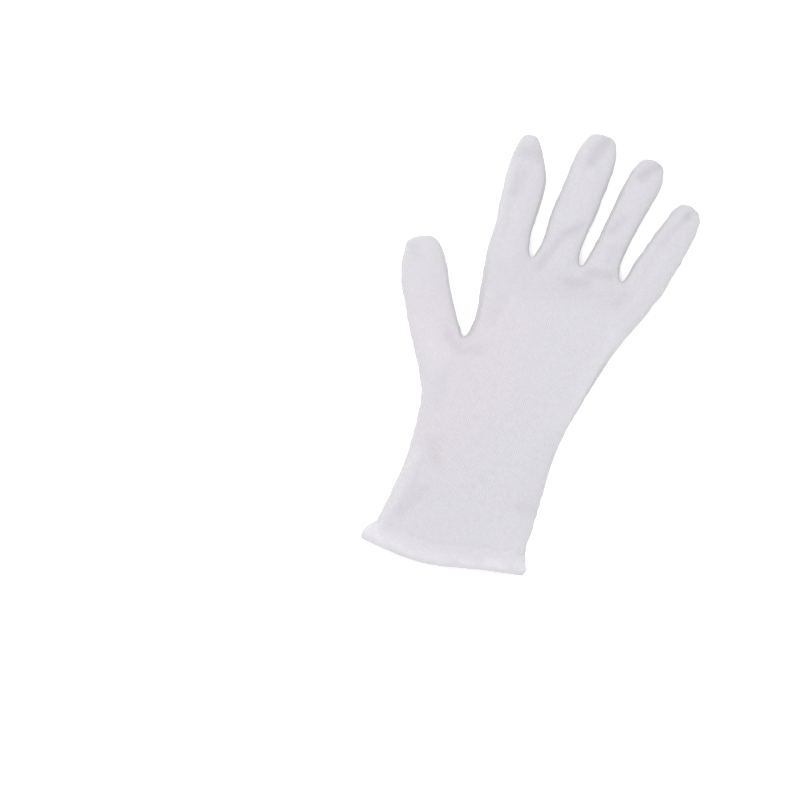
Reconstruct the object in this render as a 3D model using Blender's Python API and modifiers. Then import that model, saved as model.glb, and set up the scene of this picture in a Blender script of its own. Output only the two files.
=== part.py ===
"""Cotton dress glove lying flat: an upper cloth, a lower cloth and a doubled hem, each hollow inside.

Metres. +Y runs along the hand to the fingertips, +X to the little finger, +Z up from the table.
"""

import math
from collections import namedtuple

import bmesh
import bpy
import numpy as np

# Hand
PALM_LENGTH = 0.167
WRIST_WIDTH = 0.075
KNUCKLE_SHIFT = 0.0123

# Fingers, from the knuckle line to the tip
INDEX_LENGTH = 0.0648
INDEX_WIDTH = 0.0216
INDEX_ANGLE = -10.1
MIDDLE_LENGTH = 0.0730
MIDDLE_WIDTH = 0.0228
MIDDLE_ANGLE = -1.3
RING_LENGTH = 0.0673
RING_WIDTH = 0.0180
RING_ANGLE = 2.9
LITTLE_LENGTH = 0.0546
LITTLE_WIDTH = 0.0210
LITTLE_ANGLE = 9.3
THUMB_LENGTH = 0.0572
THUMB_WIDTH = 0.0254
THUMB_ANGLE = -29.1

# Heights of the empty glove above the table
SEAM_HEIGHT = 0.0046
FINGER_THICKNESS = 0.0108
THUMB_THICKNESS = 0.0116
PALM_THICKNESS = 0.0142
CUFF_THICKNESS = 0.0112

# Cloth and hem
CLOTH = 0.0011
CLEARANCE = 0.0003
HEM_DEPTH = 0.0115
HEM_CLOTH = 0.0021
HEM_STEP = 0.0005
MOUTH_WIDTH = 0.0864

# How far up the side wall the rounding of the upper and of the lower cloth begins
UPPER_SIDE = 0.60
LOWER_SIDE = 0.30

# How far the edge of each cloth stays back from the seam between the fingers, in cloths
CROTCH_EASE = 0.25

COTTON = (0.86, 0.86, 0.88, 1.0)
COTTON_ROUGHNESS = 0.95

Finger = namedtuple("Finger", "name length width angle base rows")
Row = namedtuple("Row", "along width shift")

# Rows of each finger in shares of its length and width: how wide it is there and how far it has moved aside.
# The last row bends round the tip.
INDEX_ROWS = (
    Row(0.12, 0.95, -0.02),
    Row(0.28, 0.94, 0.02),
    Row(0.45, 1.00, 0.06),
    Row(0.62, 1.00, 0.10),
    Row(0.77, 0.86, 0.07),
    Row(0.88, 0.66, 0.05),
    Row(0.95, 0.48, 0.03),
    Row(0.987, 0.29, 0.03),
)
MIDDLE_ROWS = (
    Row(0.12, 0.92, 0.00),
    Row(0.28, 0.97, 0.01),
    Row(0.45, 1.00, 0.04),
    Row(0.62, 0.98, 0.08),
    Row(0.77, 0.95, 0.10),
    Row(0.88, 0.86, 0.11),
    Row(0.95, 0.70, 0.12),
    Row(0.987, 0.46, 0.13),
)
RING_ROWS = (
    Row(0.12, 0.97, -0.06),
    Row(0.28, 0.92, -0.04),
    Row(0.45, 0.95, 0.01),
    Row(0.62, 1.00, 0.06),
    Row(0.77, 1.03, 0.12),
    Row(0.88, 0.96, 0.14),
    Row(0.95, 0.78, 0.15),
    Row(0.987, 0.50, 0.15),
)
LITTLE_ROWS = (
    Row(0.12, 1.03, 0.05),
    Row(0.28, 1.02, 0.06),
    Row(0.45, 0.97, 0.09),
    Row(0.62, 0.92, 0.11),
    Row(0.77, 0.84, 0.13),
    Row(0.88, 0.76, 0.13),
    Row(0.95, 0.60, 0.12),
    Row(0.987, 0.40, 0.11),
)
FINGERS = (
    Finger("index", INDEX_LENGTH, INDEX_WIDTH, INDEX_ANGLE, 1.10, INDEX_ROWS),
    Finger("middle", MIDDLE_LENGTH, MIDDLE_WIDTH, MIDDLE_ANGLE, 1.15, MIDDLE_ROWS),
    Finger("ring", RING_LENGTH, RING_WIDTH, RING_ANGLE, 1.27, RING_ROWS),
    Finger("little", LITTLE_LENGTH, LITTLE_WIDTH, LITTLE_ANGLE, 0.99, LITTLE_ROWS),
)

# The thumb leaves the hand askew, so its outer and inner edges have places of their own.
ThumbRow = namedtuple("ThumbRow", "outer_along outer inner_along inner")
THUMB_ROWS = (
    ThumbRow(-0.32, -0.53, 0.08, 0.47),
    ThumbRow(-0.12, -0.53, 0.18, 0.445),
    ThumbRow(0.08, -0.57, 0.29, 0.42),
    ThumbRow(0.27, -0.585, 0.40, 0.41),
    ThumbRow(0.44, -0.59, 0.51, 0.405),
    ThumbRow(0.60, -0.60, 0.63, 0.415),
    ThumbRow(0.75, -0.535, 0.75, 0.40),
    ThumbRow(0.88, -0.44, 0.88, 0.35),
    ThumbRow(0.968, -0.34, 0.968, 0.215),
)
THUMB_BASE = (-0.55, 0.645)

# Height of the knuckle line at the edges and middles of the fingers, as shares of the palm's length
KNUCKLE_LINE = (0.973, 0.982, 0.988, 1.003, 1.018, 1.016, 1.013, 1.002, 0.990)

# Rows of the palm from the hem to the knuckles: how far each side has turned out to the knuckles,
# its bulge as a share of the wrist, and the thickness from cuff (0) to palm (1).
PalmRow = namedtuple("PalmRow", "along to_knuckle left right thick")
PALM_ROWS = (
    PalmRow(0.000, 0.00, 0.031, 0.025, 0.00),
    PalmRow(0.127, 0.00, 0.007, 0.016, 0.15),
    PalmRow(0.231, 0.00, -0.008, 0.003, 0.40),
    PalmRow(0.333, 0.00, 0.010, -0.009, 0.65),
    PalmRow(0.438, 0.00, 0.033, 0.000, 0.85),
    PalmRow(0.500, 0.07, 0.001, 0.000, 0.95),
    PalmRow(0.565, 0.15, -0.029, 0.000, 1.00),
    PalmRow(0.629, 0.23, -0.063, 0.000, 1.00),
    PalmRow(0.692, 0.32, -0.093, 0.000, 1.00),
    PalmRow(0.771, 0.46, -0.109, 0.000, 0.95),
    PalmRow(0.849, 0.63, -0.072, 0.000, 0.85),
    PalmRow(0.926, 0.84, -0.035, 0.000, 0.65),
    PalmRow(1.000, 1.00, 0.000, 0.000, 0.00),
)
THUMB_FIRST_ROW = 4
THUMB_LAST_ROW = 8

# Fullness across the palm and across the thumb, from edge to edge
PALM_CROWN = (1.00, 0.97, 0.98, 1.00, 1.02, 1.00, 0.98, 0.97, 1.00)
THUMB_CROWN = (1.00, 0.92, 1.04, 0.92, 1.00)
FINGER_CROWN = 1.20

# The slanting edge of the open wrist, in hem depths, at the palm's nine columns
MOUTH_LINE = (-0.36, -0.42, -0.47, -0.49, -0.31, -0.06, 0.19, 0.40, 0.56)
MOUTH_LEFT = 0.513

# Rows of the hem from its top to the open edge: its flare to the mouth, and its step over the cloth,
# which is largest along the rolled bead.
HemRow = namedtuple("HemRow", "down flare step")
HEM_ROWS = (
    HemRow(0.00, 0.00, 0.3),
    HemRow(0.28, 0.45, 0.8),
    HemRow(0.56, 0.86, 0.6),
    HemRow(0.80, 1.03, 2.6),
    HemRow(1.00, 0.97, 0.8),
)

# Creases and dents of the upper cloth: two ends in a strip's own shares, depth and reach in cloths.
Fold = namedtuple("Fold", "strip along across to_along to_across depth reach")
FOLDS = (
    Fold("index", 0.88, 0.12, 0.80, 0.15, 1.1, 3.0),
    Fold("index", 0.75, -0.17, 0.47, -0.17, 0.7, 2.5),
    Fold("index", 0.47, -0.17, 0.14, -0.30, 0.8, 3.0),
    Fold("middle", 0.95, 0.24, 0.78, 0.00, 1.2, 2.8),
    Fold("middle", -0.04, -0.37, 0.29, 0.28, 1.0, 3.0),
    Fold("ring", 0.96, 0.19, 0.85, -0.05, 1.0, 2.6),
    Fold("ring", 0.44, -0.22, 0.46, 0.00, 0.9, 3.0),
    Fold("ring", 0.02, -0.37, 0.01, 0.41, 1.1, 3.2),
    Fold("little", 0.93, 0.27, 0.72, -0.03, 1.0, 2.6),
    Fold("little", 0.72, -0.03, 0.40, -0.11, 1.0, 2.8),
    Fold("little", 0.40, -0.11, -0.15, -0.33, 1.1, 3.2),
    Fold("thumb", 0.90, -0.15, 0.82, -0.17, 0.9, 3.0),
    Fold("palm", 0.956, 0.14, 0.981, 0.29, 1.8, 5.0),
    Fold("palm", 0.666, -0.50, 0.662, -0.28, 1.1, 3.5),
    Fold("palm", 0.838, -0.25, 0.771, -0.27, 1.1, 4.5),
    Fold("palm", 0.58, -0.45, 0.444, -0.41, 0.9, 4.0),
    Fold("palm", 0.847, 0.58, 0.526, 0.46, -0.8, 5.0),
    Fold("palm", 0.312, -0.35, 0.319, -0.31, 0.9, 5.0),
    Fold("palm", 0.126, -0.37, 0.182, -0.30, 0.9, 4.5),
    Fold("palm", 0.236, 0.40, 0.247, 0.49, 0.9, 4.5),
)

COLUMNS = len(PALM_CROWN)


def blend(start, end, share):
    return start + (end - start) * share


def along_axis(base, angle, forward, sideways):
    """The place a distance forward along an axis and a distance to its right, from its base."""
    turn = math.radians(angle)
    direction = np.array((math.sin(turn), math.cos(turn)))
    right = np.array((direction[1], -direction[0]))
    return np.asarray(base) + direction * forward + right * sideways


def knuckle_points():
    """Edges and middles of the four fingers' bases, side by side about the shifted centre of the hand."""
    widths = [finger.width * finger.base for finger in FINGERS]
    edges = np.concatenate(([0.0], np.cumsum(widths))) - sum(widths) / 2 + KNUCKLE_SHIFT
    across = np.interp(np.arange(COLUMNS) / 2, np.arange(len(edges)), edges)
    return np.column_stack((across, np.array(KNUCKLE_LINE) * PALM_LENGTH))


def mouth_heights():
    return np.array(MOUTH_LINE) * HEM_DEPTH


def palm_grid():
    """Rows of nine points from the top of the hem to the knuckle line."""
    knuckles = knuckle_points()
    start = mouth_heights() + HEM_DEPTH + CLEARANCE
    even = np.linspace(-1, 1, COLUMNS)
    spread = 2 * (knuckles[:, 0] - knuckles[0, 0]) / (knuckles[-1, 0] - knuckles[0, 0]) - 1
    rows = []
    for row in PALM_ROWS:
        left = blend(-WRIST_WIDTH / 2, knuckles[0, 0], row.to_knuckle) - row.left * WRIST_WIDTH
        right = blend(WRIST_WIDTH / 2, knuckles[-1, 0], row.to_knuckle) + row.right * WRIST_WIDTH
        share = blend(even, spread, row.along**2)
        across = (left + right) / 2 + share * (right - left) / 2
        rows.append(np.column_stack((across, blend(start, knuckles[:, 1], row.along))))
    return np.array(rows)


def finger_strip(finger, base):
    """Rows of three points from the finger's base to its tip; the last row bends round the tip."""
    rows = []
    for row in finger.rows:
        middle = row.shift * finger.width
        half = row.width * finger.width / 2
        forward = row.along * finger.length
        centre = finger.length if row is finger.rows[-1] else forward
        places = ((forward, middle - half), (centre, middle), (forward, middle + half))
        rows.append([along_axis(base, finger.angle, *place) for place in places])
    return rows


def thumb_base():
    return np.array((THUMB_BASE[0] * WRIST_WIDTH, THUMB_BASE[1] * PALM_LENGTH))


def thumb_strip():
    """Rows of five points from the palm's side to the thumb's tip."""
    rows = []
    for row in THUMB_ROWS:
        share = np.linspace(0, 1, len(THUMB_CROWN))
        forward = blend(row.outer_along, row.inner_along, share)
        if row is THUMB_ROWS[-1]:
            forward += (1 - row.outer_along) * np.sin(math.pi * share) ** 0.5
        sideways = blend(row.outer, row.inner, share)
        rows.append(
            [
                along_axis(thumb_base(), THUMB_ANGLE, f * THUMB_LENGTH, s * THUMB_WIDTH)
                for f, s in zip(forward, sideways)
            ]
        )
    return rows


def palm_top(row):
    return blend(CUFF_THICKNESS, PALM_THICKNESS, row.thick)


class Plan:
    """The coarse cage of one cloth seen from above: points, thicknesses, crowns, faces and the outline."""

    def __init__(self):
        self.points = []
        self.thickness = []
        self.crown = []
        self.faces = []
        self.outline = []
        palm = self.add_palm()
        self.crotches = {palm[-1][2], palm[-1][4], palm[-1][6], palm[THUMB_LAST_ROW][0]}
        self.add_outline(palm)
        self.fit_outline()

    def add(self, point, thickness, crown):
        self.points.append(np.array(point))
        self.thickness.append(thickness)
        self.crown.append(crown)
        return len(self.points) - 1

    def add_quads(self, rows):
        for below, above in zip(rows, rows[1:]):
            for i in range(len(below) - 1):
                self.faces.append((below[i], below[i + 1], above[i + 1], above[i]))

    def add_palm(self):
        rows = []
        for row, points in zip(PALM_ROWS, palm_grid()):
            rows.append([self.add(p, palm_top(row), crown) for p, crown in zip(points, PALM_CROWN)])
        for column in range(COLUMNS):
            self.thickness[rows[-1][column]] = FINGER_THICKNESS
            self.crown[rows[-1][column]] = FINGER_CROWN
        self.add_quads(rows)
        return rows

    def add_strip(self, base, rows, thickness, crowns):
        """Adds a finger on a row of points, and returns its edge from the left, over the tip, to the right."""
        indices = [base]
        for points in rows:
            indices.append([self.add(p, thickness, crown) for p, crown in zip(points, crowns)])
        self.add_quads(indices)
        sides = indices[1:-1]
        return [row[0] for row in sides] + indices[-1] + [row[-1] for row in reversed(sides)]

    def add_outline(self, palm):
        left = [row[0] for row in palm]
        right = [row[-1] for row in palm]
        base = left[THUMB_FIRST_ROW : THUMB_LAST_ROW + 1]
        self.outline += left[: THUMB_FIRST_ROW + 1]
        self.outline += self.add_strip(base, thumb_strip(), THUMB_THICKNESS, THUMB_CROWN)
        self.outline += left[THUMB_LAST_ROW:]
        crowns = (1.0, FINGER_CROWN, 1.0)
        for number, finger in enumerate(FINGERS):
            base = palm[-1][2 * number : 2 * number + 3]
            strip = finger_strip(finger, (self.points[base[0]] + self.points[base[2]]) / 2)
            self.outline += self.add_strip(base, strip, FINGER_THICKNESS, crowns) + [base[2]]
        self.outline += right[-2::-1]

    def fit_outline(self):
        """Moves the edge so that the smooth cloth, not the cage, passes through the points of the tables."""
        count = len(self.outline)
        weights = np.eye(count)
        for i in range(1, count - 1):
            weights[i, i - 1 : i + 2] = (1 / 6, 4 / 6, 1 / 6)
        fitted = np.linalg.solve(weights, np.array([self.points[i] for i in self.outline]))
        for index, point in zip(self.outline, fitted):
            self.points[index] = point

    def place(self, strip, along, across):
        """A point of a strip given in its own shares."""
        if strip == "palm":
            return np.array((across * WRIST_WIDTH, along * PALM_LENGTH))
        if strip == "thumb":
            return along_axis(thumb_base(), THUMB_ANGLE, along * THUMB_LENGTH, across * THUMB_WIDTH)
        number = [finger.name for finger in FINGERS].index(strip)
        finger = FINGERS[number]
        knuckles = knuckle_points()
        base = (knuckles[2 * number] + knuckles[2 * number + 2]) / 2
        return along_axis(base, finger.angle, along * finger.length, across * finger.width)


def cage_object(name, points, faces, collection):
    mesh = bpy.data.meshes.new(name)
    mesh.from_pydata([tuple(float(c) for c in p) for p in points], [], faces)
    mesh.update()
    obj = bpy.data.objects.new(name, mesh)
    collection.objects.link(obj)
    return obj


def smooth_mesh(obj):
    """Rounds the cage once and keeps the result as the object's own mesh."""
    smooth = obj.modifiers.new("Round", "SUBSURF")
    smooth.levels = 1
    smooth.render_levels = 1
    smooth.boundary_smooth = "PRESERVE_CORNERS"
    graph = bpy.context.evaluated_depsgraph_get()
    cage = obj.data
    obj.data = bpy.data.meshes.new_from_object(obj.evaluated_get(graph))
    obj.modifiers.clear()
    bpy.data.meshes.remove(cage)


def add_wall(obj, thickness):
    wall = obj.modifiers.new("Cloth", "SOLIDIFY")
    wall.thickness = thickness
    wall.offset = -1.0
    wall.use_quality_normals = True


def skirted(plan, heights, seam):
    """The cage at its heights, with a straight side wall to the seam that stays back where fingers part."""
    points = [(*plan.points[i], heights[i]) for i in range(len(plan.points))]
    faces = list(plan.faces)
    first = len(points)
    back = math.copysign(CROTCH_EASE * CLOTH, seam - SEAM_HEIGHT)
    points += [(*plan.points[i], seam + back * (i in plan.crotches)) for i in plan.outline]
    for i in range(len(plan.outline) - 1):
        faces.append((first + i, first + i + 1, plan.outline[i + 1], plan.outline[i]))
    return points, [tuple(face) for face in faces]


def face_outward(obj, upward):
    """Turns all faces outward, as the highest face of an upper or the lowest of a lower cloth shows."""
    mesh = bmesh.new()
    mesh.from_mesh(obj.data)
    bmesh.ops.recalc_face_normals(mesh, faces=mesh.faces)
    way = 1 if upward else -1
    outermost = max(mesh.faces, key=lambda face: way * face.calc_center_median().z)
    if way * outermost.normal.z < 0:
        bmesh.ops.reverse_faces(mesh, faces=mesh.faces)
    mesh.to_mesh(obj.data)
    mesh.free()


def press_folds(obj, plan, seam):
    """Sinks the creases and dents into the upper cloth, fading out to nothing at the seam."""
    mesh = obj.data
    points = np.array([vertex.co for vertex in mesh.vertices])
    fade = np.clip((points[:, 2] - seam) / (FINGER_THICKNESS - SEAM_HEIGHT), 0, 1)
    for fold in FOLDS:
        start = plan.place(fold.strip, fold.along, fold.across)
        run = plan.place(fold.strip, fold.to_along, fold.to_across) - start
        offset = points[:, :2] - start
        share = np.clip(offset @ run / (run @ run), 0, 1)
        distance = np.linalg.norm(offset - share[:, None] * run, axis=1)
        dip = np.exp(-((distance / (fold.reach * CLOTH)) ** 2))
        points[:, 2] -= fold.depth * CLOTH * dip * fade
    for vertex, point in zip(mesh.vertices, points):
        vertex.co = point


def back_panel(collection, plan):
    seam = SEAM_HEIGHT + CLEARANCE / 2
    edge = set(plan.outline)
    heights = []
    for i, (thickness, crown) in enumerate(zip(plan.thickness, plan.crown)):
        share = UPPER_SIDE if i in edge else crown
        heights.append(seam + (thickness - seam) * share)
    obj = cage_object("back_panel", *skirted(plan, heights, seam), collection)
    smooth_mesh(obj)
    press_folds(obj, plan, seam)
    face_outward(obj, True)
    add_wall(obj, CLOTH)
    return obj


def palm_panel(collection, plan):
    seam = SEAM_HEIGHT - CLEARANCE / 2
    edge = set(plan.outline)
    heights = []
    for i, crown in enumerate(plan.crown):
        narrow = crown == FINGER_CROWN
        heights.append(seam * (LOWER_SIDE if i in edge else -LOWER_SIDE / 2 * narrow))
    obj = cage_object("palm_panel", *skirted(plan, heights, seam), collection)
    smooth_mesh(obj)
    face_outward(obj, False)
    add_wall(obj, CLOTH)
    return obj


def hem_ring(row, grid_row):
    """Points round the wrist at one row of the hem, up one side over the back and under the palm."""
    step = HEM_STEP * row.step
    mouth = np.linspace(-MOUTH_LEFT, 1 - MOUTH_LEFT, COLUMNS) * MOUTH_WIDTH
    across = blend(grid_row[:, 0], mouth, row.flare)
    across[0] -= step
    across[-1] += step
    along = mouth_heights() + HEM_DEPTH * (1 - row.down)
    top = CUFF_THICKNESS + step - SEAM_HEIGHT
    upper = [SEAM_HEIGHT + top * crown for crown in (UPPER_SIDE,) + PALM_CROWN[1:-1] + (UPPER_SIDE,)]
    lower = [SEAM_HEIGHT * LOWER_SIDE] + [0.0] * (COLUMNS - 2) + [SEAM_HEIGHT * LOWER_SIDE]
    ring = [(across[0], along[0], SEAM_HEIGHT)]
    ring += list(zip(across, along, upper))
    ring += [(across[-1], along[-1], SEAM_HEIGHT)]
    ring += list(zip(across, along, lower))[::-1]
    return ring


def cuff_hem(collection):
    top = palm_grid()[0]
    rings = [hem_ring(row, top) for row in HEM_ROWS]
    around = len(rings[0])
    points = [point for ring in rings for point in ring]
    faces = []
    for r in range(len(rings) - 1):
        for i in range(around):
            j = (i + 1) % around
            faces.append((r * around + i, r * around + j, (r + 1) * around + j, (r + 1) * around + i))
    obj = cage_object("cuff_hem", points, faces, collection)
    smooth_mesh(obj)
    face_outward(obj, True)
    add_wall(obj, HEM_CLOTH)
    return obj


def cotton(name):
    material = bpy.data.materials.new(name)
    material.use_nodes = True
    shader = material.node_tree.nodes["Principled BSDF"]
    shader.inputs["Base Color"].default_value = COTTON
    shader.inputs["Roughness"].default_value = COTTON_ROUGHNESS
    shader.inputs["Metallic"].default_value = 0.0
    return material


def clear_scene():
    for obj in list(bpy.data.objects):
        bpy.data.objects.remove(obj, do_unlink=True)


def centre_on_table(objects):
    """Puts the origin under the middle of the glove, at the height of the table."""
    bpy.context.view_layer.update()
    graph = bpy.context.evaluated_depsgraph_get()
    corners = [np.array(corner) for obj in objects for corner in obj.evaluated_get(graph).bound_box]
    low = np.min(corners, axis=0)
    high = np.max(corners, axis=0)
    middle = (low + high) / 2
    for obj in objects:
        obj.location = (-middle[0], -middle[1], -low[2])


def main():
    clear_scene()
    collection = bpy.data.collections.new("cotton_glove")
    bpy.context.scene.collection.children.link(collection)
    plan = Plan()
    pieces = {
        "back_cotton": back_panel(collection, plan),
        "palm_cotton": palm_panel(collection, plan),
        "hem_cotton": cuff_hem(collection),
    }
    for material, obj in pieces.items():
        obj.data.materials.clear()
        obj.data.materials.append(cotton(material))
        obj.data.shade_smooth()
    centre_on_table(list(pieces.values()))


main()
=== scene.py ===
import math
from collections import namedtuple

import bmesh
import bpy
import numpy as np
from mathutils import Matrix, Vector, noise


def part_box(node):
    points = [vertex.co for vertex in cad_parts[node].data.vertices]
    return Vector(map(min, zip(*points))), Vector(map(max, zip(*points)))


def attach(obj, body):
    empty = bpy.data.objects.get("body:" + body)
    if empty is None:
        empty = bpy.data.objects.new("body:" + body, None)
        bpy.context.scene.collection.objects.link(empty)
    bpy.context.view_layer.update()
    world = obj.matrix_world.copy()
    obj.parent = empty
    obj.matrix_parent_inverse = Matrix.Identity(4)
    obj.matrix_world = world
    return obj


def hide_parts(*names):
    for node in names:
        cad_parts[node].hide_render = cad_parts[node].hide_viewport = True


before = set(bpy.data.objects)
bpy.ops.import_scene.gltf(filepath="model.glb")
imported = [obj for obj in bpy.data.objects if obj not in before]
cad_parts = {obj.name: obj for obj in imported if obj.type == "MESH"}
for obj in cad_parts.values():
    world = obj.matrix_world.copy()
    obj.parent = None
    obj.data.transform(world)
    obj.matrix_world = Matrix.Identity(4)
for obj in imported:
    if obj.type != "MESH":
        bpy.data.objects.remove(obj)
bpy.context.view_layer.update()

# Looks of the cotton glove: its knitted cloths, creases, side seam and rolled hem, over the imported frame.
# Lengths are in metres.

# The photograph: its width, the pixel that shows the frame's origin, its scale and its turn
PHOTO_PIXELS = 800
ORIGIN_PIXEL = (511.3, 347.7)
METRES_PER_PIXEL = 0.00053
PHOTO_TURN = math.radians(20)
LENS = 100.0
SENSOR = 36.0

# Cloth: its wall, the doubled wall of the hem, and the height of the seam between the two cloths
CLOTH = 0.0011
HEM_CLOTH = 0.0021
SEAM_HEIGHT = (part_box("back_panel")[0][2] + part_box("palm_panel")[1][2]) / 2

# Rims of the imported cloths: how far their normals point to the inside, or to the wrist within a depth of it.
# The hem's skin ends where two faces turn more than this.
SEAM_RIM = -0.5
WRIST_RIM = -0.8
WRIST_DEPTH = 0.02
SHARP_TURN = 0.5

# Skins: points this close are one, holes of up to this many edges are filled, triangles join to quads below
# an angle in radians, and edges longer than this are halved. Walls are held to a multiple of the skin's
# edges, and their cut edges are sharp from an angle.
SAME_POINT = 1e-6
SMALL_HOLE = 4
QUAD_ANGLE = 1.2
LONG_EDGE = 0.0018
WALL_CLAMP = 2.0
CUT_ANGLE = math.radians(50)

# Seam: half of its gap, how near to its height its edges lie, and how far each cloth is drawn in.
# The lower cloth's inset is for all of its side walls.
SEAM_GAP = 0.00004
SEAM_BAND = 0.0005
UPPER_PINCH = 0.0001
LOWER_PINCH = 0.0005
LOWER_INSET = 0.0002

# Side walls: how often they are evened, how high above the seam, and how far they lean in as they rise
ROUND_TIMES = 60
ROUND_RISE = 0.0080
SIDE_LEAN = 0.35
EDGE_FADE = 0.0040

# Joint at the wrist: how far the cloths' ends reach over the hem and sink, and which points belong to them
WRIST_REACH = 0.0009
WRIST_SINK = 0.00025
END_REACH = 0.0004

# Hem's upper edge: how far it is tucked in, leans, sinks and steps down, and over what lengths this fades.
# Its sloping corners are filled out, and the hem's colour gets a painted highlight that fades out towards its
# upper edge.
HEM_TUCK = 0.0020
TUCK_RISE = 0.0020
HEM_LEAN = 0.0080
HEM_SINK = 0.0005
HEM_STEP = 0.0003
HEM_FADE = 0.0035
HEM_FILL = 0.0006
HEM_PAINTED_LIGHT = 0.00028

# Hem's open edge: its rolled bead with its lumps, and the fuller corner on the thumb's side
BEAD_HEIGHT = 0.0007
BEAD_PLACE = 0.0034
BEAD_REACH = 0.0031
LUMP_SHARE = 0.7
LUMP_LENGTH = 0.007
CORNER_PIXEL = (367, 526)
CORNER_HEIGHT = 0.0013
CORNER_REACH = 0.0042
CORNER_FADE = 0.0025

# Softness of the cloth: waves, rumples and puckers as height and length
WAVE_HEIGHT = 0.00022
WAVE_LENGTH = 0.016
RUMPLE_HEIGHT = 0.00008
RUMPLE_LENGTH = 0.0050
PUCKER_HEIGHT = 0.00022
PUCKER_LENGTH = 0.0042
PUCKER_REACH = 0.0018
WAVE_SEED = 1
PALM_SEED = 11
HEM_SEED = 22
LUMP_SEED = 23

# Knit: the spacing of its ribs and rows, the slant of its loops in rows, and the depth of the bump with the
# shares that ribs, loops, nap and lint have in it. Ribs turn to the sides between two values of the normal.
RIB = 0.00106
ROW = 0.00088
LOOP_SLANT = 0.25
BUMP_DEPTH = 0.00018
RIB_DEPTH = 0.7
LOOP_DEPTH = 0.15
NAP_DEPTH = 0.8
LINT_DEPTH = 0.9
TURN_START = 0.6
TURN_END = 0.8

# Cotton: its white, how dark the painted shade in its knit's grooves and its mottling get, what knit and
# mottling add to that, and the scales of its drift, nap, lint, mottling and patches, each in bumps a metre
WHITE = (0.585, 0.575, 0.61)
DARK_SHARE = 0.91
KNIT_SHADE = 0.5
MOTTLE_SHADE = 0.6
DRIFT_SCALE = 180.0
NAP_SCALE = 2600.0
LINT_SCALE = 650.0
MOTTLE_SCALE = 420.0
PATCH_SCALE = 60.0
PINK_TINT = (1.018, 0.980, 0.994, 1)

# Painted highlight and shade: how much lighter the cloth's colour is made for each metre that it stands out,
# and darker where it sinks in
RELIEF_SHADE = 85.0

# Studio: the lights as pixel of the photograph, height, size and power in watts, then the world and the floor
Light = namedtuple("Light", "name pixel height size power")
LIGHTS = (
    Light("key", (-200, -280), 0.95, 0.6, 5.6),
    Light("fill", (1350, 800), 0.75, 0.8, 2.1),
)
WORLD_LIGHT = 0.78
FLOOR_SIZE = 20.0
FLOOR_GLOW = 0.3

# Creases and dents of the upper cloth and the hem: the photograph's pixels that each runs through,
# how deep it is and how far it reaches to each side. A negative depth is a ridge. Each is also painted into
# the colour, as shade along a crease or a highlight along a ridge.
Crease = namedtuple("Crease", "pixels depth reach")
CREASES = (
    Crease(((524, 153), (538, 156)), 0.0011, 0.0036),
    Crease(((524, 174), (516, 192)), 0.0008, 0.0032),
    Crease(((519, 165), (512, 195), (508, 213), (503, 238)), 0.0004, 0.0014),
    Crease(((510, 168), (504, 195), (499, 220)), -0.0003, 0.0018),
    Crease(((607, 143), (599, 152), (591, 162)), 0.0013, 0.0034),
    Crease(((539, 265), (550, 250), (565, 235), (580, 229)), 0.0010, 0.0025),
    Crease(((641, 177), (650, 171), (658, 167)), 0.0014, 0.0030),
    Crease(((622, 221), (611, 230)), 0.0009, 0.0030),
    Crease(((612, 250), (609, 262)), 0.0005, 0.0034),
    Crease(((588, 273), (600, 275), (611, 277)), 0.0011, 0.0022),
    Crease(((569, 282), (586, 282)), 0.0009, 0.0026),
    Crease(((694, 212), (687, 218)), 0.0008, 0.0026),
    Crease(((688, 218), (682, 222), (671, 233), (660, 245)), 0.0007, 0.0020),
    Crease(((654, 256), (638, 282)), 0.0003, 0.0024),
    Crease(((626, 293), (616, 305)), 0.0006, 0.0030),
    Crease(((414, 247), (415, 254)), 0.0006, 0.0032),
    Crease(((451, 338), (461, 350), (478, 350)), 0.0006, 0.0032),
    Crease(((500, 272), (535, 286), (600, 298)), 0.0004, 0.0090),
    Crease(((424, 325), (438, 355)), -0.0004, 0.0060),
    # A painted shade strip along the palm's right edge; the cloth's own crease fades out there at the side
    # wall
    Crease(((612, 353), (601, 371), (586, 399), (569, 430)), 0.0010, 0.0012),
    Crease(((500, 299), (490, 318)), 0.0004, 0.0040),
    Crease(((446, 366), (436, 408)), 0.0003, 0.0042),
    Crease(((615, 338), (590, 380), (564, 427)), -0.0006, 0.0045),
    Crease(((376, 531), (393, 504), (406, 477), (414, 456)), -0.0006, 0.0032),
    Crease(((383, 530), (396, 511), (412, 488), (421, 462)), 0.0003, 0.0022),
    Crease(((433, 446), (437, 462)), 0.0006, 0.0042),
    Crease(((400, 513), (425, 491)), 0.0006, 0.0032),
    Crease(((520, 509), (533, 511)), 0.0005, 0.0034),
    Crease(((385, 535), (440, 552)), -0.0002, 0.0060),
    Crease(((500, 542), (520, 556)), -0.0003, 0.0080),
)

# The faint pink bloom: the pixels that it runs along and how far it reaches
BLOOM_PIXELS = ((426, 318), (462, 356), (498, 325), (492, 372), (438, 434))
BLOOM_REACH = 0.027


def at_pixel(pixel):
    """The place on the table, in the frame's metres, that the photograph shows at a pixel."""
    right = (pixel[0] - ORIGIN_PIXEL[0]) * METRES_PER_PIXEL
    down = (pixel[1] - ORIGIN_PIXEL[1]) * METRES_PER_PIXEL
    cos = math.cos(PHOTO_TURN)
    sin = math.sin(PHOTO_TURN)
    return np.array((right * cos + down * sin, right * sin - down * cos))


def is_rim(face, upward, wrist):
    """Whether a face joins the outer skin to the inside: along the seam, or across the end at the wrist."""
    if upward * face.normal.z < SEAM_RIM:
        return True
    return face.normal.y < WRIST_RIM and face.calc_center_median().y < wrist


def packed_mesh(node):
    """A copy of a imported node's mesh whose faces are joined to each other."""
    mesh = bmesh.new()
    mesh.from_mesh(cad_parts[node].data)
    bmesh.ops.remove_doubles(mesh, verts=mesh.verts, dist=SAME_POINT)
    return mesh


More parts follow.
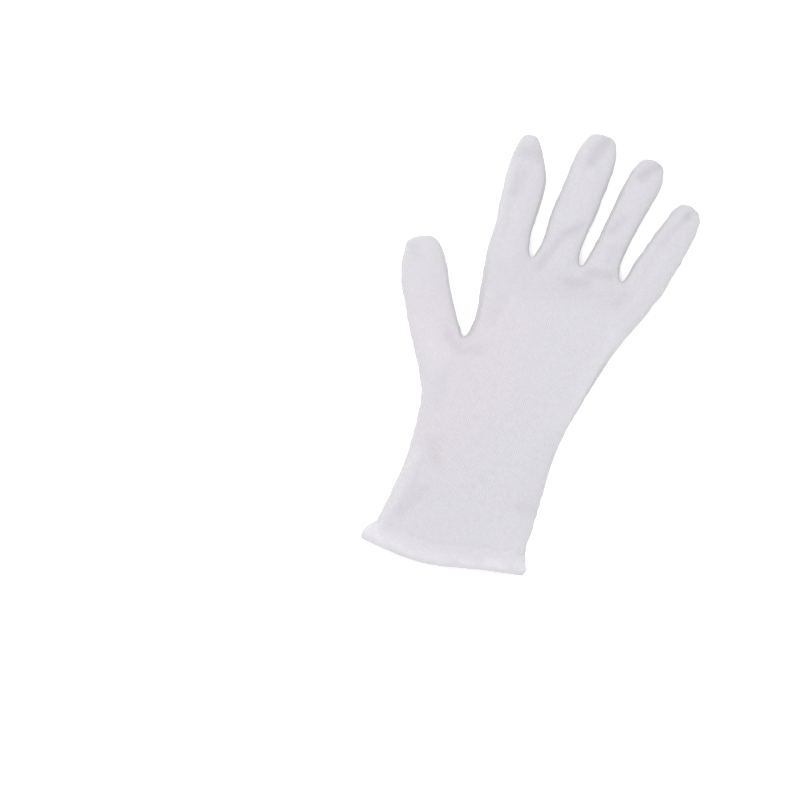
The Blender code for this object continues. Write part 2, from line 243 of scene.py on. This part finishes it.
def keep_reached(mesh, start, goes_on):
    """Keeps the faces that a walk over shared edges reaches from one face, and deletes the others."""
    found = {start}
    front = [start]
    while front:
        face = front.pop()
        for edge in face.edges:
            for other in edge.link_faces:
                if other not in found and goes_on(face, other):
                    found.add(other)
                    front.append(other)
    others = [face for face in mesh.faces if face not in found]
    bmesh.ops.delete(mesh, geom=others, context="FACES")


def quad_data(mesh, name):
    """The mesh as data, with its triangles joined to quads where they fit."""
    bmesh.ops.join_triangles(
        mesh, faces=mesh.faces, angle_face_threshold=QUAD_ANGLE, angle_shape_threshold=QUAD_ANGLE
    )
    data = bpy.data.meshes.new(name)
    mesh.to_mesh(data)
    mesh.free()
    return data


def outer_skin(node):
    """The outer skin of a packed cloth as quads, without its inside and its rims."""
    mesh = packed_mesh(node)
    upward = -1 if node == "palm_panel" else 1
    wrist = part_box(node)[0][1] + WRIST_DEPTH
    highest = max(mesh.faces, key=lambda face: face.calc_center_median().z * upward)
    keep_reached(mesh, highest, lambda face, other: not is_rim(other, upward, wrist))
    bmesh.ops.holes_fill(mesh, edges=mesh.edges, sides=SMALL_HOLE)
    return quad_data(mesh, node)


def outer_ring(node):
    """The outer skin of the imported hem, which ends where the faces turn sharply to its cut edges."""
    mesh = packed_mesh(node)
    start = max(mesh.faces, key=lambda face: face.calc_center_median().z)
    keep_reached(mesh, start, lambda face, other: face.normal.dot(other.normal) > SHARP_TURN)
    return quad_data(mesh, node)


def new_object(name, data):
    obj = bpy.data.objects.new(name, data)
    bpy.context.scene.collection.objects.link(obj)
    return obj


def made_real(obj):
    """Keeps what the modifiers make as the object's own mesh."""
    graph = bpy.context.evaluated_depsgraph_get()
    data = bpy.data.meshes.new_from_object(obj.evaluated_get(graph))
    obj.modifiers.clear()
    obj.data = data


def smoothed(obj, levels):
    """Subdivides the skin, then halves its longest edges, so that narrow creases show in it."""
    smooth = obj.modifiers.new("Smooth", "SUBSURF")
    smooth.levels = levels
    smooth.render_levels = levels
    smooth.boundary_smooth = "PRESERVE_CORNERS"
    made_real(obj)
    mesh = bmesh.new()
    mesh.from_mesh(obj.data)
    long_edges = [edge for edge in mesh.edges if edge.calc_length() > LONG_EDGE]
    bmesh.ops.subdivide_edges(mesh, edges=long_edges, cuts=1, use_grid_fill=True)
    mesh.to_mesh(obj.data)
    mesh.free()


def points_of(obj):
    points = np.empty(len(obj.data.vertices) * 3, np.float32)
    obj.data.vertices.foreach_get("co", points)
    return points.reshape(-1, 3).astype(float)


def normals_of(obj):
    normals = np.empty(len(obj.data.vertices) * 3, np.float32)
    obj.data.vertex_normals.foreach_get("vector", normals)
    return normals.reshape(-1, 3).astype(float)


def set_points(obj, points):
    obj.data.vertices.foreach_set("co", points.astype(np.float32).ravel())
    obj.data.update()


def boundary_of(obj):
    """Which of the skin's points lie on its open edges."""
    mesh = bmesh.new()
    mesh.from_mesh(obj.data)
    found = np.array([vertex.is_boundary for vertex in mesh.verts])
    mesh.free()
    return found


def soft_noise(points, length, seed):
    """Smooth noise between about -1 and 1 at each point, with bumps of a length."""
    shift = Vector((seed * 7.3, seed * 3.1, seed * 5.7))
    return np.array([noise.noise(Vector(point) / length + shift) for point in points]) * 2


def distance_to(points, pixels):
    """Distance on the table from each point to a line through the photograph's pixels."""
    line = np.array([at_pixel(pixel) for pixel in pixels])
    nearest = np.full(len(points), np.inf)
    for start, end in zip(line, line[1:]):
        run = end - start
        offset = points[:, :2] - start
        share = np.clip(offset @ run / max(run @ run, 1e-12), 0, 1)
        nearest = np.minimum(nearest, np.linalg.norm(offset - share[:, None] * run, axis=1))
    return nearest


def crease_depths(points):
    """Depth of the creases at each point."""
    depths = np.zeros(len(points))
    for crease in CREASES:
        depths += crease.depth * np.exp(-((distance_to(points, crease.pixels) / crease.reach) ** 2))
    return depths


def above_sides(points):
    """From 0 at the seam to 1 above the side walls, where the creases reach their depth."""
    rise = np.clip((points[:, 2] - SEAM_HEIGHT) / EDGE_FADE, 0, 1)
    return rise * rise * (3 - 2 * rise)


def keep_looks(obj, points, heights):
    """Keeps, for the colour at each point, how far the cloth stands out or sinks in, which drives its painted
    highlight and shade, and how pink it is.
    """
    pink = np.clip(1 - distance_to(points, BLOOM_PIXELS) / BLOOM_REACH, 0, 1)
    for name, values in (("painted_relief_shade", heights), ("bloom", pink * pink * (3 - 2 * pink))):
        look = obj.data.attributes.new(name, "FLOAT", "POINT")
        look.data.foreach_set("value", values.astype(np.float32))


def softness(points, seed):
    """Height of the cloth's own unevenness: broad waves, fine rumples and puckers along the seam."""
    height = WAVE_HEIGHT * soft_noise(points, WAVE_LENGTH, seed)
    height += RUMPLE_HEIGHT * soft_noise(points, RUMPLE_LENGTH, seed + 1)
    near = np.exp(-(((points[:, 2] - SEAM_HEIGHT) / PUCKER_REACH) ** 2))
    height += PUCKER_HEIGHT * near * soft_noise(points, PUCKER_LENGTH, seed + 2)
    return height


def round_sides(obj, points):
    """Rounds the turn from the side walls to the top, by drawing each point there toward its neighbours."""
    ends = np.empty(len(obj.data.edges) * 2, np.int32)
    obj.data.edges.foreach_get("vertices", ends)
    first, second = ends.reshape(-1, 2).T
    count = np.bincount(np.concatenate((first, second)), minlength=len(points))
    share = 0.5 * np.clip(1 - np.abs(points[:, 2] - SEAM_HEIGHT) / ROUND_RISE, 0, 1)
    share[boundary_of(obj)] = 0
    for _ in range(ROUND_TIMES):
        total = np.zeros_like(points)
        np.add.at(total, first, points[second])
        np.add.at(total, second, points[first])
        points += share[:, None] * (total / count[:, None] - points)


def lean_sides(points, normals, share):
    """Leans the side walls above the seam inward by a share, so that the lying glove has soft round edges."""
    steepness = np.clip(1 - np.abs(normals[:, 2]), 0, 1)
    rise = np.maximum(points[:, 2] - SEAM_HEIGHT, 0)
    points[:, :2] -= (SIDE_LEAN * share * rise * steepness)[:, None] * normals[:, :2]


def close_seam(obj, points, normals, side, pinch):
    """Brings a cloth's open edge to the seam and pinches it inward, and draws its wrist end over the hem."""
    edge = boundary_of(obj)
    beside = np.abs(points[:, 2] - SEAM_HEIGHT) < SEAM_BAND
    ends = points[edge & ~beside]
    order = np.argsort(ends[:, 0])
    end_line = np.interp(points[:, 0], ends[order, 0], ends[order, 1])
    wrist = edge & (points[:, 1] < end_line + END_REACH)
    edge &= beside
    points[edge, 2] = SEAM_HEIGHT + side * SEAM_GAP
    flat = normals[edge, :2]
    flat = flat / np.maximum(np.linalg.norm(flat, axis=1, keepdims=True), 1e-6)
    points[edge, :2] -= pinch * flat
    points[wrist, 1] -= WRIST_REACH
    points[wrist] -= WRIST_SINK * normals[wrist]


def hem_edges(obj, points):
    """How far each of the hem's points lies below its upper edge and above its open edge, along the hand."""
    edge = boundary_of(obj)
    slope = np.polyfit(points[edge, 0], points[edge, 1], 1)
    upper = edge & (points[:, 1] > np.polyval(slope, points[:, 0]))
    heights = []
    for line in (upper, edge & ~upper):
        order = np.argsort(points[line, 0])
        heights.append(np.interp(points[:, 0], points[line, 0][order], points[line, 1][order]))
    return upper, heights[0] - points[:, 1], points[:, 1] - heights[1]


def shape_hem(obj, points, normals):
    """Rolls the open edge into a lumpy bead and tucks the upper edge under the end of the upper cloth.

    Returns how far the hem stands out at each point, with a lift that fades out towards its upper edge, for
    its painted highlight and shade.
    """
    upper, below, above = hem_edges(obj, points)
    facing = np.abs(normals[:, 2])
    lumps = 1 + LUMP_SHARE * soft_noise(points, LUMP_LENGTH, LUMP_SEED)
    height = BEAD_HEIGHT * lumps * np.exp(-(((above - BEAD_PLACE) / BEAD_REACH) ** 2)) * facing
    corner = np.exp(-((distance_to(points, (CORNER_PIXEL, CORNER_PIXEL)) / CORNER_REACH) ** 2))
    height += CORNER_HEIGHT * corner * np.clip(below / CORNER_FADE, 0, 1)
    height -= crease_depths(points) * above_sides(points)
    level = np.clip(2 * facing - 1, 0, 1)
    raised = np.clip((points[:, 2] - SEAM_HEIGHT) / TUCK_RISE + 0.5, 0, 1)
    fill = HEM_FILL * raised * 4 * facing * (1 - facing)
    step = (fill - HEM_STEP * level) * np.clip(1 - below / HEM_FADE, 0, 1)
    points += normals * (height + step)[:, None]
    lean_sides(points, normals, np.clip(1 - below / HEM_LEAN, 0, 1))
    points -= normals * (HEM_SINK * upper * raised * level)[:, None]
    points[:, 1] += HEM_TUCK * upper * raised
    # Painted highlight on the bead and away from the upper edge, painted shade in the creases
    return height + HEM_PAINTED_LIGHT * np.clip(below / HEM_FADE, 0, 1)


def wall(obj, thickness):
    """Gives the skin its thickness inward, with crisp cut edges."""
    solid = obj.modifiers.new("Cloth", "SOLIDIFY")
    solid.thickness = thickness
    solid.offset = -1.0
    solid.use_quality_normals = True
    solid.thickness_clamp = WALL_CLAMP
    made_real(obj)
    obj.data.shade_smooth()
    obj.data.set_sharp_from_angle(angle=CUT_ANGLE)


def back_cloth():
    obj = new_object("back_cloth", outer_skin("back_panel"))
    smoothed(obj, 2)
    points = points_of(obj)
    round_sides(obj, points)
    set_points(obj, points)
    normals = normals_of(obj)
    depths = crease_depths(points)
    height = softness(points, WAVE_SEED) - depths * above_sides(points)
    points += normals * height[:, None]
    lean_sides(points, normals, 1.0)
    close_seam(obj, points, normals, 1, UPPER_PINCH)
    set_points(obj, points)
    # Painted shade along the creases and painted highlight along the ridges, also on the side walls where the
    # cloth itself is not creased
    keep_looks(obj, points, -depths)
    wall(obj, CLOTH)
    return obj


def palm_cloth():
    obj = new_object("palm_cloth", outer_skin("palm_panel"))
    smoothed(obj, 2)
    points = points_of(obj)
    normals = normals_of(obj)
    points += normals * softness(points, PALM_SEED)[:, None]
    points[:, 2] = np.maximum(points[:, 2], 0.0)
    points[:, :2] -= LOWER_INSET * normals[:, :2]
    close_seam(obj, points, normals, -1, LOWER_PINCH)
    set_points(obj, points)
    keep_looks(obj, points, np.zeros(len(points)))
    wall(obj, CLOTH)
    return obj


def hem_band():
    obj = new_object("hem_band", outer_ring("cuff_hem"))
    smoothed(obj, 3)
    points = points_of(obj)
    normals = normals_of(obj)
    height = WAVE_HEIGHT * soft_noise(points, WAVE_LENGTH, WAVE_SEED)
    height += PUCKER_HEIGHT / 2 * soft_noise(points, PUCKER_LENGTH, HEM_SEED)
    points += normals * height[:, None]
    painted_relief_shade = shape_hem(obj, points, normals)
    points[:, 2] = np.maximum(points[:, 2], 0.0)
    set_points(obj, points)
    keep_looks(obj, points, painted_relief_shade)
    wall(obj, HEM_CLOTH)
    return obj


class Shader:
    """A material whose node tree is built by short calls."""

    def __init__(self, name):
        self.material = bpy.data.materials.new(name)
        self.material.use_nodes = True
        self.tree = self.material.node_tree
        self.surface = self.tree.nodes["Principled BSDF"]

    def link(self, value, socket):
        if isinstance(value, bpy.types.NodeSocket):
            self.tree.links.new(value, socket)
        else:
            socket.default_value = value

    def node(self, kind, output, inputs, **settings):
        made = self.tree.nodes.new(kind)
        for name, value in settings.items():
            setattr(made, name, value)
        for key, value in inputs.items():
            self.link(value, made.inputs[key])
        return made.outputs[output]

    def math(self, operation, first, second=0.0):
        return self.node("ShaderNodeMath", 0, {0: first, 1: second}, operation=operation)

    def noise(self, place, scale, detail=2.0):
        return self.node("ShaderNodeTexNoise", "Fac", {"Vector": place, "Scale": scale, "Detail": detail})

    def blend(self, share, first, second):
        """A blend of two values."""
        return self.node("ShaderNodeMix", 0, {0: share, 2: first, 3: second})

    def mix(self, share, first, second):
        """A blend of two colours; the mix node's colour sockets are its seventh and eighth."""
        return self.node("ShaderNodeMix", 2, {0: share, 6: first, 7: second}, data_type="RGBA")

    def ramp(self, value, low, high):
        """The value stretched from low to high into 0 to 1, with soft ends."""
        inputs = {"Value": value, "From Min": low, "From Max": high}
        return self.node("ShaderNodeMapRange", "Result", inputs, interpolation_type="SMOOTHSTEP")


def ribs(shader, across):
    """Rounded ribs side by side, from 0 to 1."""
    return shader.math("ABSOLUTE", shader.math("SINE", shader.math("MULTIPLY", across, math.pi / RIB)))


def loops(shader, along, rib):
    """The rows of slanting loops that each rib is made of, from -1 to 1."""
    slant = shader.math("MULTIPLY", rib, LOOP_SLANT)
    rows = shader.math("ADD", shader.math("MULTIPLY", along, 1 / ROW), slant)
    return shader.math("SINE", shader.math("MULTIPLY", rows, 2 * math.pi))


def knit_height(shader, place):
    """Height of the knit: ribs along the hand, which go round its sides and fingertips without stretching."""
    x, y, z = (shader.node("ShaderNodeSeparateXYZ", axis, {0: place}) for axis in range(3))
    way = shader.node("ShaderNodeTexCoord", "Normal", {})
    aside, ahead = (shader.node("ShaderNodeSeparateXYZ", axis, {0: way}) for axis in range(2))
    on_side = shader.ramp(shader.math("ABSOLUTE", aside), TURN_START, TURN_END)
    on_end = shader.ramp(shader.math("ABSOLUTE", ahead), TURN_START, TURN_END)
    drift = shader.math("MULTIPLY", shader.math("SUBTRACT", shader.noise(place, DRIFT_SCALE), 0.5), RIB)
    x, y, z = (shader.math("ADD", axis, drift) for axis in (x, y, z))
    rib = shader.blend(on_side, ribs(shader, x), ribs(shader, z))
    loop = shader.blend(on_end, loops(shader, y, rib), loops(shader, z, rib))
    loop = shader.math("MULTIPLY", loop, LOOP_DEPTH)
    return shader.math("ADD", shader.math("MULTIPLY", rib, RIB_DEPTH), loop)


def cotton(name, white):
    """Matte white knit: ribs and rows, a felted nap, slight mottling and a faint pink bloom by the thumb.

    It gets a painted highlight where the cloth stands out and painted shade where it sinks in.
    """
    shader = Shader(name)
    place = shader.node("ShaderNodeTexCoord", "Object", {})
    knit = knit_height(shader, place)
    nap = shader.math("MULTIPLY", shader.noise(place, NAP_SCALE, 3.0), NAP_DEPTH)
    lint = shader.math("MULTIPLY", shader.noise(place, LINT_SCALE), LINT_DEPTH)
    height = shader.math("ADD", knit, shader.math("ADD", nap, lint))
    bump = shader.node("ShaderNodeBump", 0, {"Height": height, "Distance": BUMP_DEPTH, "Strength": 1.0})
    shader.link(bump, shader.surface.inputs["Normal"])
    mottle = shader.math("MULTIPLY", shader.noise(place, MOTTLE_SCALE, 3.0), MOTTLE_SHADE)
    # Darker in the knit's grooves as painted shade, and mottled at random in its own tone
    groove_shade_and_mottle = shader.math("ADD", shader.math("MULTIPLY", knit, KNIT_SHADE), mottle)
    dark = [channel * DARK_SHARE for channel in white]
    colour = shader.mix(shader.ramp(groove_shade_and_mottle, 0.15, 0.75), (*dark, 1), (*white, 1))
    patchy = shader.ramp(shader.noise(place, PATCH_SCALE), 0.2, 0.6)
    bloom = shader.node("ShaderNodeAttribute", "Fac", {}, attribute_name="bloom")
    share = shader.math("MULTIPLY", bloom, shader.math("ADD", shader.math("MULTIPLY", patchy, 0.4), 0.6))
    tint = shader.mix(share, (1, 1, 1, 1), PINK_TINT)
    colour = shader.node("ShaderNodeVectorMath", 0, {0: colour, 1: tint}, operation="MULTIPLY")
    painted_relief_shade = shader.node("ShaderNodeAttribute", "Fac", {}, attribute_name="painted_relief_shade")
    # Painted highlight where the cloth stands out, painted shade where it sinks in
    painted_highlight_and_shade = shader.math("ADD", shader.math("MULTIPLY", painted_relief_shade, RELIEF_SHADE), 1.0)
    colour = shader.node("ShaderNodeVectorMath", 0, {0: colour, 1: painted_highlight_and_shade}, operation="MULTIPLY")
    shader.link(colour, shader.surface.inputs["Base Color"])
    shader.surface.inputs["Roughness"].default_value = 0.95
    shader.surface.inputs["Specular IOR Level"].default_value = 0.2
    shader.surface.inputs["Sheen Weight"].default_value = 0.12
    shader.surface.inputs["Sheen Roughness"].default_value = 0.6
    return shader.material


def floor():
    """The pale table, far wider than the picture."""
    bpy.ops.mesh.primitive_plane_add(size=FLOOR_SIZE, location=(0, 0, 0))
    plane = bpy.context.object
    plane.name = "floor"
    shader = Shader("floor_white")
    shader.surface.inputs["Base Color"].default_value = (0.95, 0.95, 0.95, 1)
    shader.surface.inputs["Roughness"].default_value = 0.9
    shader.surface.inputs["Emission Color"].default_value = (1, 1, 1, 1)
    shader.surface.inputs["Emission Strength"].default_value = FLOOR_GLOW
    plane.data.materials.append(shader.material)


def camera():
    """Straight above the table, turned as the photograph is, at the height that gives its scale."""
    data = bpy.data.cameras.new("camera")
    data.lens = LENS
    data.sensor_width = SENSOR
    eye = bpy.data.objects.new("camera", data)
    bpy.context.scene.collection.objects.link(eye)
    middle = at_pixel((PHOTO_PIXELS / 2, PHOTO_PIXELS / 2))
    distance = PHOTO_PIXELS * METRES_PER_PIXEL * LENS / SENSOR
    eye.location = (middle[0], middle[1], SEAM_HEIGHT + distance)
    eye.rotation_euler = (0, 0, PHOTO_TURN)
    bpy.context.scene.camera = eye


def area_light(light):
    """A square light above a pixel of the photograph that points at the glove."""
    data = bpy.data.lights.new(light.name, "AREA")
    data.energy = light.power
    data.size = light.size
    lamp = bpy.data.objects.new(light.name, data)
    lamp.location = (*at_pixel(light.pixel), light.height)
    lamp.rotation_euler = (-lamp.location).to_track_quat("-Z", "Y").to_euler()
    bpy.context.scene.collection.objects.link(lamp)


def lights():
    world = bpy.data.worlds.new("studio")
    world.use_nodes = True
    background = world.node_tree.nodes["Background"]
    background.inputs["Color"].default_value = (1, 1, 1, 1)
    background.inputs["Strength"].default_value = WORLD_LIGHT
    bpy.context.scene.world = world
    for light in LIGHTS:
        area_light(light)


def dress():
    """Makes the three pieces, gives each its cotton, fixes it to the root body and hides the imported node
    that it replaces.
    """
    for piece, node, slot in (
        (back_cloth(), "back_panel", "back_cotton"),
        (palm_cloth(), "palm_panel", "palm_cotton"),
        (hem_band(), "cuff_hem", "hem_cotton"),
    ):
        piece.data.materials.clear()
        piece.data.materials.append(cotton(slot, WHITE))
        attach(piece, "root")
        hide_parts(node)


dress()
floor()
camera()
lights()
bpy.context.scene.view_settings.view_transform = "Standard"
